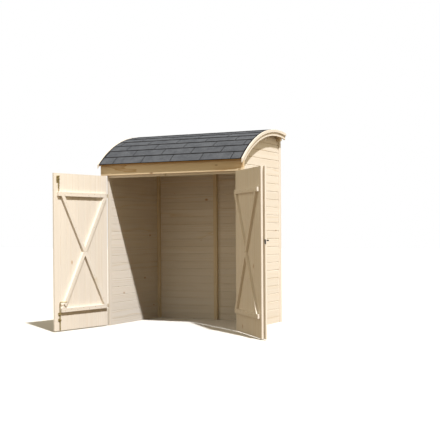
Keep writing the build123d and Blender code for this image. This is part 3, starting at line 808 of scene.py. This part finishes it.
def braceScrewPlaces(side):
    share = np.array(braceScrews["shares"])
    near, far = braceScrews["near"], braceScrews["far"]
    height = braceScrews["low"] + (braceScrews["high"] - braceScrews["low"]) * share
    places = [leafPoint(side, foot + (top - foot) * share, ledgeScrews["face"], height)
              for foot, top in ((near, far), (far, near))]
    crossing = np.array(braceScrews["crossing"])
    return places + [leafPoint(side, crossing, ledgeScrews["face"], braceScrews["crossingHeight"])]


def screwLeaf(side, sideName):
    body = sideName + "_door"
    inward = leafInward(side)
    places = np.concatenate(ledgeScrewPlaces(side) + braceScrewPlaces(side))
    screws(sideName + "LedgeScrews", places, inward, ledgeScrews["head"], body)
    along, face = np.array(strapScrews["places"]), doors["outer"] - strapScrews["thickness"]
    places = np.concatenate([leafPoint(side, along, face, height) for height in ledgeScrews["heights"]])
    screws(sideName + "StrapScrews", places, -inward, strapScrews["head"], body)
    x = side * (shelter["halfWidth"] + plateScrews["thickness"])
    y = shelter["frontY"] + plateScrews["behindFront"]
    places = [(x, y, height + rise) for height in ledgeScrews["heights"]
              for rise in (-plateScrews["rise"], plateScrews["rise"])]
    screws(sideName + "PlateScrews", places, (side, 0, 0), plateScrews["head"], "shelter")


boltScrews = {
    "face": doors["inner"] + 0.002,
    "topMiddle": 0.765,
    "topHeights": (1.597, 1.655),
    "topAside": 0.0165,
    "dropMiddle": 0.756,
    "dropHeights": (0.124, 0.186),
    "dropAside": 0.0145,
    "dropRise": 0.011,
    "head": 0.003,
}


def boltScrewPlaces(side):
    face, aside, rise = boltScrews["face"], boltScrews["topAside"], boltScrews["dropRise"]
    places = [leafPoint(side, boltScrews["topMiddle"] + u, face, z)
              for u in (-aside, aside) for z in boltScrews["topHeights"]]
    aside = boltScrews["dropAside"]
    return places + [leafPoint(side, boltScrews["dropMiddle"] + u, face, z + up)
                     for u in (-aside, aside) for z in boltScrews["dropHeights"] for up in (-rise, rise)]


# places are pairs of distance from the pin and height
lockScrews = {
    "stripPlaces": [(0.8015, height) for height in (0.10, 0.40, 0.70, 1.15, 1.40, 1.62)],
    "stripFace": -0.016,
    "stripHead": 0.004,
    "platePlaces": [(0.858, 0.970), (0.843, 0.970), (0.858, 0.942)],
    "plateFace": -0.001,
    "plateHead": 0.0026,
    "rosePlaces": [(0.802, 0.9565), (0.802, 0.9795)],
    "roseFace": -0.022,
    "roseHead": 0.0022,
}


def lockScrewPlaces(side, piece):
    places = np.array(lockScrews[piece + "Places"])
    return leafPoint(side, places[:, 0], lockScrews[piece + "Face"], places[:, 1])


screwLeaf(-1, "left")
screws("boltPlateScrews", boltScrewPlaces(-1), leafInward(-1), boltScrews["head"], "left_door")
screwLeaf(1, "right")
inward = leafInward(1)
screws("stripScrews", lockScrewPlaces(1, "strip"), -inward, lockScrews["stripHead"], "right_door")
screws("lockScrews", lockScrewPlaces(1, "plate"), inward, lockScrews["plateHead"], "right_door",
       "blackPowderCoat")
screws("roseScrews", lockScrewPlaces(1, "rose"), -inward, lockScrews["roseHead"], "right_door",
       "blackPowderCoat")
print("hardware finished")

studio = {
    "floor": "#E2E0DC",
    "floorHalf": 40,
    "bounceOutside": "#5F4D31", # the pale floor throws less light back than it shows, and warmer
    "bounceInside": "#2A1F12",
    "doorwayBlend": 0.1,        # the two bounces blend this far before and behind the jambs
    "sunAzimuth": 37.6,         # from +X towards the front, read from shadows in the photograph
    "sunHeight": 54.5,
    "sun": 4.95,
    "sunColour": (1.0, 0.99, 0.985),
    "sunWidth": 2,              # degrees
    "sky": 0.11,
    "roomColour": (1.0, 0.865, 0.60, 1.0),
    "softEdge": 0.1,            # a soft light begins where its cosine is this
}
# soft lights, from the front left and from the right: direction and strength
softLights = (((-0.74, -0.62, 0.26), 0.66), ((0.78, 0.58, 0.24), 0.98))

floorMaterial, tree = newMaterial("paleFloor")
seenFloor = addNode(tree, "ShaderNodeLightPath")
floorPlace = addNode(tree, "ShaderNodeTexCoord")
axes = addNode(tree, "ShaderNodeSeparateXYZ", {}, {"Vector": (floorPlace, "Object")})
# 1 between the side walls and behind the doors, 0 outside
aside = addNode(tree, "ShaderNodeMath", {"operation": "ABSOLUTE"}, {0: (axes, "X")})
between = addNode(tree, "ShaderNodeMath", {"operation": "LESS_THAN", 1: shelter["innerHalf"]},
                  {0: (aside, "Value")})
behind = addNode(tree, "ShaderNodeMapRange",
                 {"From Min": shelter["frontY"] - studio["doorwayBlend"],
                  "From Max": shelter["frontY"] + studio["doorwayBlend"]},
                 {"Value": (axes, "Y")})
inside = addNode(tree, "ShaderNodeMath", {"operation": "MULTIPLY"},
                 {0: (between, "Value"), 1: (behind, "Result")})
outsideColour, insideColour = hexToLinear(studio["bounceOutside"]), hexToLinear(studio["bounceInside"])
bounce = addNode(tree, "ShaderNodeMix", {"data_type": "RGBA", 6: outsideColour, 7: insideColour},
                 {0: (inside, "Value")})
floorColour = addNode(tree, "ShaderNodeMix", {"data_type": "RGBA", 7: hexToLinear(studio["floor"])},
                      {0: (seenFloor, "Is Camera Ray"), 6: (bounce, 2)})
shader = addNode(tree, "ShaderNodeBsdfPrincipled", {"Roughness": 0.9}, {"Base Color": (floorColour, 2)})
addNode(tree, "ShaderNodeOutputMaterial", {}, {"Surface": (shader, "BSDF")})
half = studio["floorHalf"]
corners = [(-half, -half, 0), (half, -half, 0), (half, half, 0), (-half, half, 0)]
floorMesh = bpy.data.meshes.new("floor")
floorMesh.from_pydata(corners, [], [(0, 1, 2, 3)])
floorMesh.materials.append(floorMaterial)
floor = bpy.data.objects.new("floor", floorMesh)
bpy.context.scene.collection.objects.link(floor)

lamp = bpy.data.lights.new("sun", "SUN")
lamp.energy = studio["sun"]
lamp.angle = math.radians(studio["sunWidth"])
lamp.color = studio["sunColour"]
sun = bpy.data.objects.new("sun", lamp)
bpy.context.scene.collection.objects.link(sun)
sun.rotation_euler = (math.radians(90 - studio["sunHeight"]), 0, math.radians(90 - studio["sunAzimuth"]))

world = bpy.data.worlds.new("studio")
bpy.context.scene.world = world
world.use_nodes = True
tree = world.node_tree
tree.nodes.clear()
direction = addNode(tree, "ShaderNodeTexCoord")
strengths = []
for towards, power in softLights:
    facing = addNode(tree, "ShaderNodeVectorMath", {"operation": "DOT_PRODUCT", 1: towards},
                     {0: (direction, "Generated")})
    falloff = {"interpolation_type": "SMOOTHSTEP", "From Min": studio["softEdge"], "To Max": power}
    strengths.append(addNode(tree, "ShaderNodeMapRange", falloff, {"Value": (facing, "Value")}))
firstAndSky = addNode(tree, "ShaderNodeMath", {1: studio["sky"]}, {0: (strengths[0], "Result")})
strength = addNode(tree, "ShaderNodeMath", {}, {0: (strengths[1], "Result"), 1: (firstAndSky, "Value")})
room = addNode(tree, "ShaderNodeBackground", {"Color": studio["roomColour"]},
               {"Strength": (strength, "Value")})
# the camera and reflections see plain white instead
paths = addNode(tree, "ShaderNodeLightPath")
seen = addNode(tree, "ShaderNodeMath", {"operation": "MAXIMUM"},
               {0: (paths, "Is Camera Ray"), 1: (paths, "Is Glossy Ray")})
backdrop = addNode(tree, "ShaderNodeBackground", {"Color": (1.0, 1.0, 1.0, 1.0), "Strength": 1.0})
both = addNode(tree, "ShaderNodeMixShader", {},
               {0: (seen, "Value"), 1: (room, "Background"), 2: (backdrop, "Background")})
addNode(tree, "ShaderNodeOutputWorld", {}, {"Surface": (both, "Shader")})

bpy.context.scene.view_settings.view_transform = "Standard"
print("floor and light set")
